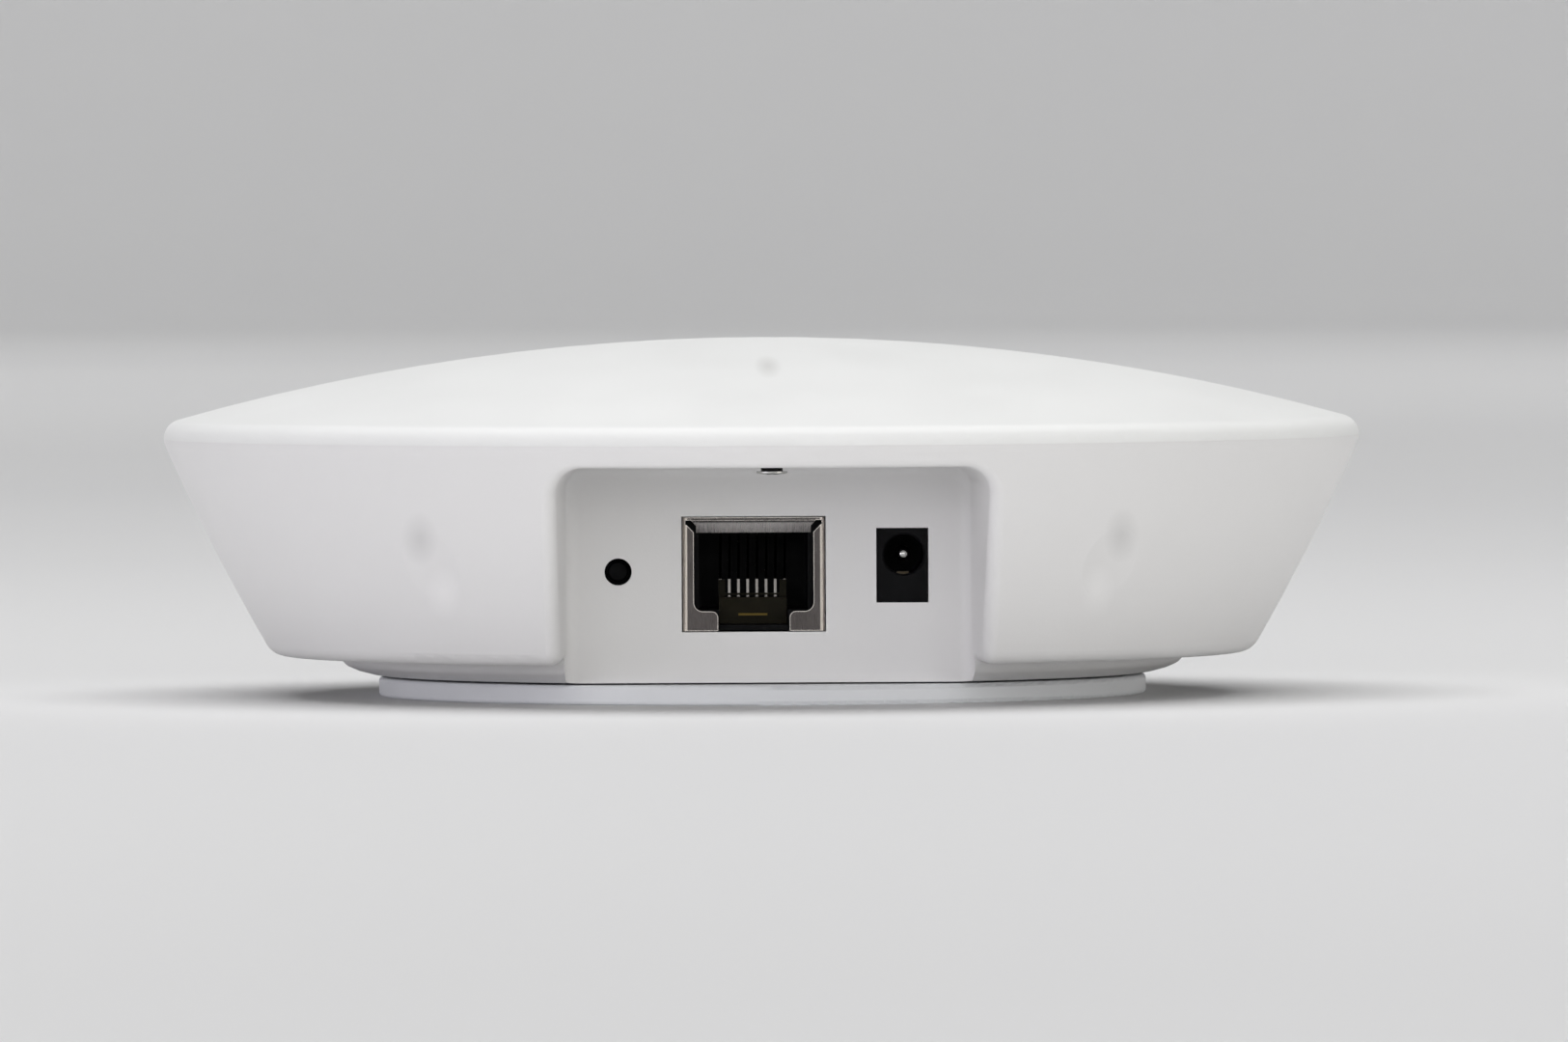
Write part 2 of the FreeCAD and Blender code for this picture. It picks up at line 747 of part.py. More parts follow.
def board_screws():
    return group("board_screws", *[board_screw(index, x, y)
                                   for index, (x, y) in enumerate(STANDOFFS)])


def cover_lock_screw():
    """Captive screw in the bay roof that holds the cover; its flange hangs under a neck."""
    seat = bay_roof + 0.3
    crown_radius = 8.0
    flange_low = seat - 1.2
    flange = rod("lock_flange", 0, -lock_screw_y, flange_low, 1.7, 0.36)
    ball = doc.addObject("Part::Sphere", "lock_crown")
    bind(ball, "Radius", crown_radius)
    place(ball, 0, -lock_screw_y, flange_low + crown_radius)
    domed = doc.addObject("Part::MultiCommon", "lock_domed_flange")
    domed.Shapes = [flange, ball]
    neck = rod("lock_neck", 0, -lock_screw_y, flange_low + 0.3, 1.2, 0.9)
    shank = rod("lock_shank", 0, -lock_screw_y, seat - 0.2, 0.95, 5.5)
    slot = centred_block("lock_slot", 0, -lock_screw_y, seat - 2.4, 1.9, 0.4, 1.8)
    cross = centred_block("lock_cross", 0, -lock_screw_y, seat - 2.4, 0.4, 1.9, 1.8)
    return cut("cover_lock_screw", fuse("lock_solid", domed, neck, shank), slot, cross)


# ---------------------------------------------------------------- network jack

jack_left = jack_x - jack_wide / 2
jack_right = jack_x + jack_wide / 2
jack_top = jack_bottom + jack_high
ARM = 1.22
SHOULDER = 2.15
KEYWAY = 7.9
MITRE_LOW = 1.62
MITRE_HIGH = 0.8
FLAP_DEEP = 1.3
FLAP_INSET = 1.5
ROOF_GAP = 1.7
CORNER_BEND = 0.4
COMB_RISE = 1.25
COMB_FRONT = 5.7
COMB_HALF = 3.75
WIRE_PLANE = 8.6
jack_floor = jack_bottom + SHOULDER + 0.15
jack_roof = jack_top - ROOF_GAP - 0.05
comb_top = jack_floor + COMB_RISE


def shield_face(side):
    """One side of the shield's front: an upright arm and the shoulder beside the keyway."""
    body = new_body(f"shield_face_{side + 1}")
    sketch = sketch_on(body, f"shield_face_outline_{side + 1}", "XZ_Plane",
                       jack_face - jack_sheet)
    edge = jack_x + side * jack_wide / 2
    inner = edge - side * ARM
    key = jack_x + side * KEYWAY / 2
    low_round = 1.0
    key_round = 0.7
    shelf = jack_bottom + SHOULDER
    outline(sketch, [
        (edge, jack_bottom),
        (key, jack_bottom),
        (key, shelf - key_round, key + side * key_round, shelf - key_round, key_round,
         -side),
        (key + side * key_round, shelf),
        (inner - side * low_round, shelf, inner - side * low_round, shelf + low_round,
         low_round, side),
        (inner, shelf + low_round),
        (inner, jack_top - MITRE_LOW),
        (edge - side * 0.42, jack_top - MITRE_HIGH),
        (edge, jack_top - MITRE_HIGH),
    ])
    pad(body, sketch, jack_sheet)
    return body


def shield_flap():
    """Top flap of the shield, turned in and down, with its front corners cut off."""
    sheet = taper("shield_flap_sheet",
                  (-jack_face, jack_left + 0.6, jack_right - 0.6,
                   jack_top - jack_sheet - 0.05, jack_top),
                  (FLAP_DEEP - jack_face, jack_left + 0.6, jack_right - 0.6,
                   jack_top - ROOF_GAP, jack_top - ROOF_GAP + jack_sheet))
    body = new_body("shield_flap_front")
    sketch = sketch_on(body, "shield_flap_outline", "XZ_Plane",
                       jack_face - FLAP_DEEP - 0.5)
    outline(sketch, [
        (jack_left + FLAP_INSET, jack_top - ROOF_GAP - 1),
        (jack_right - FLAP_INSET, jack_top - ROOF_GAP - 1),
        (jack_right - FLAP_INSET, jack_top - 0.95),
        (jack_right - 0.85, jack_top - 0.2),
        (jack_right - 0.85, jack_top + 1),
        (jack_left + 0.85, jack_top + 1),
        (jack_left + 0.85, jack_top - 0.2),
        (jack_left + FLAP_INSET, jack_top - 0.95),
    ])
    pad(body, sketch, FLAP_DEEP + 1.5)
    flap = doc.addObject("Part::MultiCommon", "shield_flap")
    flap.Shapes = [sheet, body]
    return flap


def rj45_shield():
    """Folded metal shield: box, front arms with shoulders, and a flap turned in on top."""
    shell = block("shield_outer", jack_left, -jack_face, jack_bottom, jack_wide, jack_deep,
                  jack_high)
    inside = block("shield_inside", jack_left + jack_sheet, -jack_face - 1, jack_bottom - 1,
                   jack_wide - 2 * jack_sheet, jack_deep + 1 - jack_sheet,
                   jack_high + 1 - jack_sheet)
    walls = cut("shield_walls", shell, inside)
    folded = fuse("shield_folded", walls, shield_flap(), shield_face(-1), shield_face(1))
    envelope = block("shield_envelope", jack_left, -jack_face, jack_bottom, jack_wide,
                     jack_deep, jack_high)

    def front_corner(middle, edge):
        at_middle = abs(middle.z - jack_bottom.number - jack_high.number / 2) < 0.01
        return at_middle and abs(middle.y + jack_face.number) < 0.01
    bent = rounded("shield_bends", envelope, as_size(CORNER_BEND), front_corner)
    shield = doc.addObject("Part::MultiCommon", "rj45_shield")
    shield.Shapes = [folded, bent]
    return shield


def rj45_housing():
    """Black insulator inside the shield, with the plug cavity and latch keyway."""
    front = FLAP_DEEP + 0.1 - jack_face
    deep = jack_deep - FLAP_DEEP - 0.1 - jack_sheet - 0.05
    solid = block("insulator", jack_left + jack_sheet + 0.05, front, jack_bottom + 0.05,
                  jack_wide - 2 * jack_sheet - 0.1, deep, jack_high - jack_sheet - 0.1)
    plug = centred_block("plug_cavity", jack_x, front + 5.5, jack_floor, 12.0, 13.0,
                         jack_roof - jack_floor)
    latch = centred_block("latch_cavity", jack_x, front + 4.5, jack_bottom + 0.6,
                          2 * COMB_HALF + 0.1, 11.0, 3.0)
    return cut("rj45_housing", solid, plug, latch)


def rj45_comb():
    """Amber comb that holds the contacts' free ends behind a bar and two end cheeks."""
    base_low = jack_bottom + 0.65
    front = COMB_FRONT - jack_face
    base = block("comb_base", jack_x - COMB_HALF, front, base_low, 2 * COMB_HALF, 5.0,
                 comb_top - base_low)
    ledge = centred_block("comb_ledge", jack_x, front, base_low + 0.9, 3.2, 0.3, 0.25)
    bar_place = WIRE_PLANE - 0.35 - jack_face
    bar = centred_block("comb_bar", jack_x, bar_place, comb_top + 0.22, 2 * COMB_HALF, 0.5,
                        0.2)
    pieces = [base, ledge, bar]
    for side in (-1, 1):
        pieces.append(centred_block(f"comb_cheek_{side + 1}", jack_x + side * 3.38,
                                    bar_place, comb_top - 0.1, 0.74, 0.5, 2.0))
    return fuse("rj45_comb", *pieces)


def rj45_contacts():
    """Eight sprung contacts that slope back from the cavity roof down to the comb."""
    wires = []
    bend = comb_top + 1.95
    thick = 0.3
    wide = 0.28
    for index in range(8):
        body = new_body(f"contact_{index}")
        start = jack_x + contact_pitch * (index - 3.5) - wide / 2
        sketch = sketch_on(body, f"contact_outline_{index}", "YZ_Plane", start)
        back = WIRE_PLANE - jack_face
        outline(sketch, [
            (back, comb_top),
            (back, bend),
            (5.0 - jack_face, jack_roof - 0.05),
            (5.0 - jack_face + thick * 1.4, jack_roof - 0.05),
            (back + thick, bend + 0.1),
            (back + thick, comb_top),
        ])
        pad(body, sketch, wide)
        wires.append(body)
    return group("rj45_contacts", *wires)


# ---------------------------------------------------------------- power jack


def dc_jack_body():
    front = 0.1 - panel_face
    solid = centred_block("power_block", power_x, front + power_deep / 2, board_top,
                          power_wide, power_deep, power_high)
    bore = rod("power_opening", pin_x, front + 9.0, power_axis, power_bore, 10,
               TOWARD_FRONT)
    lead_in = cone("power_lead_in", pin_x, front + 0.2, power_axis, power_bore,
                   power_bore + 0.25, 0.25, TOWARD_FRONT)
    seat = rod("power_pin_seat", pin_x, front + power_deep + 1, power_axis,
               power_pin + 0.02, 6, TOWARD_FRONT)
    slot = centred_block("power_spring_slot", pin_x, front + 5.5,
                         power_axis - power_bore - 1.2, 1.6, 6.4, 1.8)
    return cut("dc_jack_body", solid, bore, lead_in, seat, slot)


def dc_jack_pin():
    back = 0.1 - panel_face + power_deep - 0.3
    shaft = rod("pin_shaft", pin_x, back, power_axis, power_pin, 9.0, TOWARD_FRONT)
    tip = doc.addObject("Part::Sphere", "pin_tip")
    bind(tip, "Radius", power_pin)
    place(tip, pin_x, back - 9.0, power_axis)
    return fuse("dc_jack_pin", shaft, tip)


def dc_jack_spring():
    """Side contact of the power jack, lying in its slot under the opening."""
    low = power_axis - power_bore - 1.1
    leaf = centred_block("spring_leaf", pin_x, 5.6 - panel_face, low, 1.3, 5.8, 0.25)
    rise_up = centred_block("spring_rise", pin_x, 6.2 - panel_face, low, 1.3, 0.3, 1.3)
    bump = centred_block("spring_bump", pin_x, 5.5 - panel_face, low + 1.05, 1.3, 1.7, 0.25)
    return fuse("dc_jack_spring", leaf, rise_up, bump)


# ---------------------------------------------------------------- reset switch

SWITCH_FRONT = 33.6
BUTTON_TIP = 34.7


def reset_switch_body():
    solid = centred_block("switch_block", reset_x, 1.8 - SWITCH_FRONT, board_top, 6.0, 3.6,
                          reset_z - board_top + 2.2)
    bore = rod("switch_bore", reset_x, 2.6 - SWITCH_FRONT, reset_z,
               button_radius + button_play, 4, TOWARD_FRONT)
    chamber = rod("switch_chamber", reset_x, 2.6 - SWITCH_FRONT, reset_z, 1.9, 1.6,
                  TOWARD_FRONT)
    return cut("reset_switch_body", solid, bore, chamber)


def reset_button():
    """Plunger with a collar that keeps it in the switch."""
    stem = rod("button_stem", reset_x, 1.7 - SWITCH_FRONT, reset_z, button_radius,
               BUTTON_TIP - SWITCH_FRONT + 1.5, TOWARD_FRONT)
    nose = cone("button_nose", reset_x, 0.2 - BUTTON_TIP, reset_z, button_radius,
                button_radius - 0.2, 0.2, TOWARD_FRONT)
    collar = rod("button_collar", reset_x, 1.75 - SWITCH_FRONT, reset_z, 1.7, 0.6,
                 TOWARD_FRONT)
    return fuse("reset_button", stem, nose, collar)


def reset_contact_dome():
    """Thin sprung disc the plunger snaps through."""
    rim = rod("snap_rim", reset_x, 2.6 - SWITCH_FRONT, reset_z, 1.75, 0.15, TOWARD_FRONT)
    crown = cone("snap_crown", reset_x, 2.45 - SWITCH_FRONT, reset_z, 1.4, 0.5, 0.3,
                 TOWARD_FRONT)
    return fuse("reset_contact_dome", rim, crown)


def reset_switch_bracket():
    """Folded clip over the switch."""
    top = reset_z + 2.2
    outer = centred_block("clip_outer", reset_x, 1.8 - SWITCH_FRONT, board_top, 6.7, 3.0,
                          top - board_top + 0.35)
    inner = centred_block("clip_inner", reset_x, 1.8 - SWITCH_FRONT, board_top - 1, 6.1, 4.0,
                          top - board_top + 1.05)
    return cut("reset_switch_bracket", outer, inner)


# ---------------------------------------------------------------- radio section

RADIO_X = 2.0
RADIO_Y = 14.0
CAN_WIDE = 34.0
CAN_DEEP = 26.0
CAN_HIGH = 2.6


def rf_shield_frame():
    outer = centred_block("can_outer", RADIO_X, RADIO_Y, board_top, CAN_WIDE, CAN_DEEP,
                          CAN_HIGH)
    inner = centred_block("can_inner", RADIO_X, RADIO_Y, board_top - 1, CAN_WIDE - 0.6,
                          CAN_DEEP - 0.6, CAN_HIGH + 0.7)
    opening = centred_block("can_opening", RADIO_X, RADIO_Y, board_top + 1, CAN_WIDE - 3,
                            CAN_DEEP - 3, CAN_HIGH)
    return cut("rf_shield_frame", outer, inner, opening)


def rf_shield_lid():
    top = centred_block("lid_top", RADIO_X, RADIO_Y, board_top + CAN_HIGH - 1.2,
                        CAN_WIDE + 0.7, CAN_DEEP + 0.7, 1.5)
    hollow = centred_block("lid_hollow", RADIO_X, RADIO_Y, board_top + CAN_HIGH - 2.2,
                           CAN_WIDE + 0.1, CAN_DEEP + 0.1, 2.2 + 0.02)
    return cut("rf_shield_lid", top, hollow)


def soc_chip():
    lower = centred_block("soc_base", RADIO_X - 5, RADIO_Y, board_top, 15, 15, 0.5)
    upper = centred_block("soc_mould", RADIO_X - 5, RADIO_Y, board_top + 0.5, 13.6, 13.6, 0.8)
    return fuse("soc_chip", lower, upper)


def memory_chips():
    chips = []
    for index, y in enumerate((RADIO_Y - 5.5, RADIO_Y + 5.5)):
        chips.append(centred_block(f"memory_{index}", RADIO_X + 10, y, board_top, 9, 8, 1.0))
    return group("memory_chips", *chips)


PAD_LOW = CAN_HIGH + 0.3
PAD_THICK = 0.8


def thermal_pad():
    pad_block = centred_block("thermal_pad", RADIO_X, RADIO_Y, board_top + PAD_LOW, 22, 20,
                              PAD_THICK)
    return pad_block


def heat_sink():
    low = board_top + PAD_LOW + PAD_THICK
    pieces = [centred_block("sink_base", RADIO_X, RADIO_Y, low, 36, 26, 2.0)]
    for index in range(10):
        x = RADIO_X - 17.3 + index * 34.6 / 9
        pieces.append(centred_block(f"sink_fin_{index}", x, RADIO_Y, low + 1.5, 1.1, 26, 5.5))
    return fuse("heat_sink", *pieces)


def ethernet_transformer():
    return centred_block("ethernet_transformer", jack_x, -12.4, board_top + 0.2, 15.5, 10.5,
                         5.5)


def transformer_leads():
    """Gull-wing leads down both long sides of the network transformer."""
    pieces = []
    for side in (-1, 1):
        edge = -12.4 + side * 5.25
        for index in range(12):
            x = jack_x - 6.6 + index * 1.2
            leg = centred_block(f"leg_{side + 1}_{index}", x, edge + side * 0.2,
                                board_top, 0.4, 0.25, 2.0)
            foot = centred_block(f"foot_{side + 1}_{index}", x, edge + side * 0.7,
                                 board_top, 0.4, 1.2, 0.25)
            pieces.append(fuse(f"lead_{side + 1}_{index}", leg, foot))
    return group("transformer_leads", *pieces)


POE_X = 30.0
POE_Y = -4.0


def poe_core():
    outer = centred_block("core_outer", POE_X, POE_Y, board_top + 1.2, 13, 6, 9.5)
    windows = [centred_block(f"core_window_{side}", POE_X + side * 3.5, POE_Y,
                             board_top + 2.9, 2.8, 8, 6.1) for side in (-1, 1)]
    return cut("poe_core", outer, *windows)


def poe_winding():
    """Bobbin and coil round the middle leg of the core."""
    coil = centred_block("coil", POE_X, POE_Y, board_top + 3.1, 9.2, 9.4, 5.7)
    low_flange = centred_block("flange_low", POE_X, POE_Y - 5.3, board_top, 11, 1.2, 7)
    high_flange = centred_block("flange_high", POE_X, POE_Y + 5.3, board_top, 11, 1.2, 7)
    leg = centred_block("core_leg_space", POE_X, POE_Y, board_top, 4.4, 6.2, 12)
    return cut("poe_winding", fuse("winding_solid", coil, low_flange, high_flange), leg)


CAPACITORS = ((24.5, -27.5), (33.0, -23.0), (-28.0, -27.0))


def electrolytic_caps():
    cans = []
    for index, (x, y) in enumerate(CAPACITORS):
        base = centred_block(f"cap_base_{index}", x, y, board_top, 8.2, 8.2, 0.7)
        can = rod(f"cap_can_{index}", x, y, board_top + 0.5, 4.0, 8.0)
        cans.append(rounded(f"cap_{index}", fuse(f"cap_solid_{index}", base, can),
                            as_size(0.4),
                            lambda middle, edge: edge.Closed and middle.z > 18))
    return group("electrolytic_caps", *cans)


INDUCTORS = ((-27.0, -12.0), (-27.0, -2.0))


def power_inductors():
    coils = []
    for index, (x, y) in enumerate(INDUCTORS):
        body = centred_block(f"inductor_block_{index}", x, y, board_top, 7.3, 7.3, 4.0)
        drum = rod(f"inductor_drum_{index}", x, y, board_top + 3.7, 3.0, 1.0)
        groove = rod(f"inductor_groove_{index}", x, y, board_top + 3.7, 2.5, 1.0)
        coils.append(cut(f"inductor_{index}", body, cut(f"inductor_ring_{index}", drum,
                                                        groove)))
    return group("power_inductors", *coils)


# ---------------------------------------------------------------- antennas

ANTENNA_X = 45.0
ANTENNA_Y = 4.0
ANTENNA_LONG = 24.0


def antenna_carrier(side, name):
    """Plastic bar that holds an antenna above the board."""
    x = side * ANTENNA_X
    bar = centred_block(f"{name}_bar", x, ANTENNA_Y, board_top, 3.0, ANTENNA_LONG, 8.0)
    relief = centred_block(f"{name}_relief", x, ANTENNA_Y, board_top - 1, 5.0,
                           ANTENNA_LONG - 8, 5.0)
    return cut(name, bar, relief)


def antenna(side, name):
    """Stamped sheet-metal antenna: upright plate, top flange and a tuning slot."""
    x = side * (ANTENNA_X - 1.7)
    high = 8.0
    upright = centred_block(f"{name}_upright", x, ANTENNA_Y, board_top + 2.5, 0.4,
                            ANTENNA_LONG - 1, high)
    flange = centred_block(f"{name}_flange", side * ANTENNA_X, ANTENNA_Y,
                           board_top + 2.5 + high - 0.4, 3.8, ANTENNA_LONG - 1, 0.4)
    slot = centred_block(f"{name}_slot", x, ANTENNA_Y - 2, board_top + 6.0, 2.0,
                         ANTENNA_LONG - 8, 0.9)
    return cut(name, fuse(f"{name}_folded", upright, flange), slot)


CABLE_X = 22.0
CABLE_Y = 34.0
CABLE_BEND = 8.0


def antenna_cable(name):
    """Thin coaxial lead from the board socket round to the right-hand antenna."""
    body = new_body(name)
    path = sketch_on(body, f"{name}_path", "XY_Plane", board_top + 0.85)
    outline(path, [
        (CABLE_X + 1.5, CABLE_Y),
        (ANTENNA_X - CABLE_BEND, CABLE_Y, ANTENNA_X - CABLE_BEND, CABLE_Y - CABLE_BEND,
         CABLE_BEND, -1),
        (ANTENNA_X, CABLE_Y - CABLE_BEND),
        (ANTENNA_X, ANTENNA_Y + ANTENNA_LONG / 2),
    ], closed=False)
    profile = sketch_on(body, f"{name}_section", "YZ_Plane", CABLE_X + 1.5)
    ring(profile, CABLE_Y, board_top + 0.85, 0.57)
    pipe = body.newObject("PartDesign::AdditivePipe", f"{name}_pipe")
    pipe.Profile = profile
    pipe.Spine = (path, [])
    return body


def antenna_cables():
    right = antenna_cable("antenna_cable_right")
    left = doc.addObject("Part::Mirroring", "antenna_cable_left")
    left.Source = right
    left.Normal = (1, 0, 0)
    left.Base = (0, 0, 0)
    return right, left


def coax_plugs():
    """Snap-on coaxial plugs on the board."""
    plugs = []
    for side in (-1, 1):
        x = side * CABLE_X
        can = rod(f"coax_can_{side + 1}", x, CABLE_Y, board_top, 1.5, 1.4)
        if side > 0:
            barrel = rod("coax_barrel_right", x, CABLE_Y, board_top + 0.85, 0.55, 1.5,
                         FreeCAD.Rotation(FreeCAD.Vector(0, 1, 0), 90))
        else:
            barrel = rod("coax_barrel_left", x, CABLE_Y, board_top + 0.85, 0.55, 1.5,
                         FreeCAD.Rotation(FreeCAD.Vector(0, 1, 0), -90))
        plugs.append(fuse(f"coax_plug_{side + 1}", can, barrel))
    return group("coax_plugs", *plugs)


# ---------------------------------------------------------------- status lamp

LAMP_X = 9.3
LAMP_BOARD_Y = -30.5


def status_led():
    base = centred_block("led_base", LAMP_X, LAMP_BOARD_Y, board_top, 1.6, 0.8, 0.3)
    lens = centred_block("led_lens", LAMP_X, LAMP_BOARD_Y, board_top + 0.3, 1.1, 0.8, 0.3)
    return fuse("status_led", base, lens)


def light_pipe():
    """Clear guide from the lamp on the board up to the thin spot in the dome."""
    top = dome_at(lamp_y, wall).number + 1.0
    stops = [FreeCAD.Vector(LAMP_X, LAMP_BOARD_Y, board_top.number + 0.8),
             FreeCAD.Vector(LAMP_X, LAMP_BOARD_Y, 26.0),
             FreeCAD.Vector(0, -lamp_y.number, 32.2),
             FreeCAD.Vector(0, -lamp_y.number, top)]
    solid = None
    for start, finish in zip(stops, stops[1:]):
        run = finish - start
        piece = Part.makeCylinder(1.2, run.Length, start, run)
        solid = piece if solid is None else solid.fuse(piece)
    for bend in stops[1:3]:
        solid = solid.fuse(Part.makeSphere(1.2, bend))
    guide = doc.addObject("Part::Feature", "light_pipe")
    guide.Shape = solid.removeSplitter()
    return guide


# ---------------------------------------------------------------- build and export


def export(nodes):
    """Check every object, then write one STEP file for each sub-part."""
    doc.recompute()
    for thing in doc.Objects:
        if "Invalid" in thing.State or "Error" in thing.State:
            raise RuntimeError(f"{thing.Label}: {thing.State}")
    os.makedirs("parts", exist_ok=True)
    for name, thing in nodes:
        shape = thing.Shape
        if shape.isNull() or not shape.isValid() or not shape.Solids:
            raise RuntimeError(f"{name}: bad shape")
        shape.exportStep(f"parts/{name}.step")
        box = shape.BoundBox
        print(f"{name}: {len(shape.Solids)} solid, {shape.Volume:.2f} mm3, "
              f"x {box.XMin:.2f} {box.XMax:.2f} y {box.YMin:.2f} {box.YMax:.2f} "
              f"z {box.ZMin:.2f} {box.ZMax:.2f}")


cable_right, cable_left = antenna_cables()
export([
    ("mount_plate", mount_plate()),
    ("bottom_housing", bottom_housing()),
    ("top_cover", top_cover()),
    ("main_board", main_board()),
    ("board_screws", board_screws()),
    ("cover_lock_screw", cover_lock_screw()),
    ("rj45_shield", rj45_shield()),
    ("rj45_housing", rj45_housing()),
    ("rj45_comb", rj45_comb()),
    ("rj45_contacts", rj45_contacts()),
    ("dc_jack_body", dc_jack_body()),
    ("dc_jack_pin", dc_jack_pin()),
    ("dc_jack_spring", dc_jack_spring()),
    ("reset_switch_body", reset_switch_body()),
    ("reset_switch_bracket", reset_switch_bracket()),
    ("reset_contact_dome", reset_contact_dome()),
    ("reset_button", reset_button()),
    ("rf_shield_frame", rf_shield_frame()),
    ("rf_shield_lid", rf_shield_lid()),
    ("soc_chip", soc_chip()),
    ("memory_chips", memory_chips()),
    ("thermal_pad", thermal_pad()),
    ("heat_sink", heat_sink()),
    ("ethernet_transformer", ethernet_transformer()),
    ("transformer_leads", transformer_leads()),
    ("poe_core", poe_core()),
    ("poe_winding", poe_winding()),
    ("electrolytic_caps", electrolytic_caps()),
    ("power_inductors", power_inductors()),
    ("antenna_carrier_left", antenna_carrier(-1, "antenna_carrier_left")),
    ("antenna_carrier_right", antenna_carrier(1, "antenna_carrier_right")),
    ("antenna_left", antenna(-1, "antenna_left")),
    ("antenna_right", antenna(1, "antenna_right")),
    ("antenna_cable_left", cable_left),
    ("antenna_cable_right", cable_right),
    ("coax_plugs", coax_plugs()),
    ("status_led", status_led()),
    ("light_pipe", light_pipe()),
])
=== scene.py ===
import json
import math
import bpy
from mathutils import Matrix, Vector


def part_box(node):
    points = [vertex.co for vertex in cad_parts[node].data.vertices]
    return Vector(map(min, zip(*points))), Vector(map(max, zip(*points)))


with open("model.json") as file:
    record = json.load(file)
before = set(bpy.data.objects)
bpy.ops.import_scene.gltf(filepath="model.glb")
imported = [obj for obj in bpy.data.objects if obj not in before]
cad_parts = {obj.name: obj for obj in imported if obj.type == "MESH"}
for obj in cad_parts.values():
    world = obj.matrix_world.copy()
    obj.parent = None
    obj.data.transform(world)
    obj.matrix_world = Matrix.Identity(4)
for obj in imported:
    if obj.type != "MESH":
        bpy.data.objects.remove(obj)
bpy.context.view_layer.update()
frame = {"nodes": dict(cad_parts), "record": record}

MM = 0.001

# ---------------------------------------------------------------- places taken from the frame

# Small features within one node, where its material changes; most of them place painted shade or
# painted highlights.
GUIDE_RADIUS = 1.2 * MM
LAMP_SHADE_SPREAD = (1.6 * MM, 8.0 * MM, 1.0)
LIT_END_LENGTH = 1.95 * MM
CONTACT_SHADE_FADE = 0.25 * MM
LEDGE_HIGHLIGHT_DEPTH = 0.12 * MM
FLANGE_HEIGHT = 0.35 * MM
NECK_SHADE_FADE = 0.03 * MM
BEND_HIGHLIGHT_WIDTH = 0.55 * MM
HIGHLIGHT_FADE = 0.1 * MM
EDGE_HIGHLIGHT_WIDTH = 0.16 * MM

record = frame["record"]
nodes = frame["nodes"]
dome_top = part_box("top_cover")[1][2]
guide_low, guide_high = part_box("light_pipe")
lamp_shade_spot = Vector((guide_low[0] + GUIDE_RADIUS, guide_low[1] + GUIDE_RADIUS, guide_high[2]))
comb_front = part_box("rj45_comb")[0][1]
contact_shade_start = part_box("rj45_contacts")[0][2] + LIT_END_LENGTH
screw_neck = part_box("cover_lock_screw")[0][2] + FLANGE_HEIGHT
shield_low, shield_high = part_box("rj45_shield")

# The right-hand sink mark on the side wall, with painted shade above and painted light below;
# the left one mirrors it.
SINK_PAINTED_SHADE = Vector((38.4, -49.2, 18.6)) * MM
SINK_PAINTED_LIGHT = Vector((35.8, -47.0, 12.6)) * MM
SINK_PAINT_SPREAD = (2.1 * MM, 9.0 * MM, 3.2 * MM)


# ---------------------------------------------------------------- material building blocks


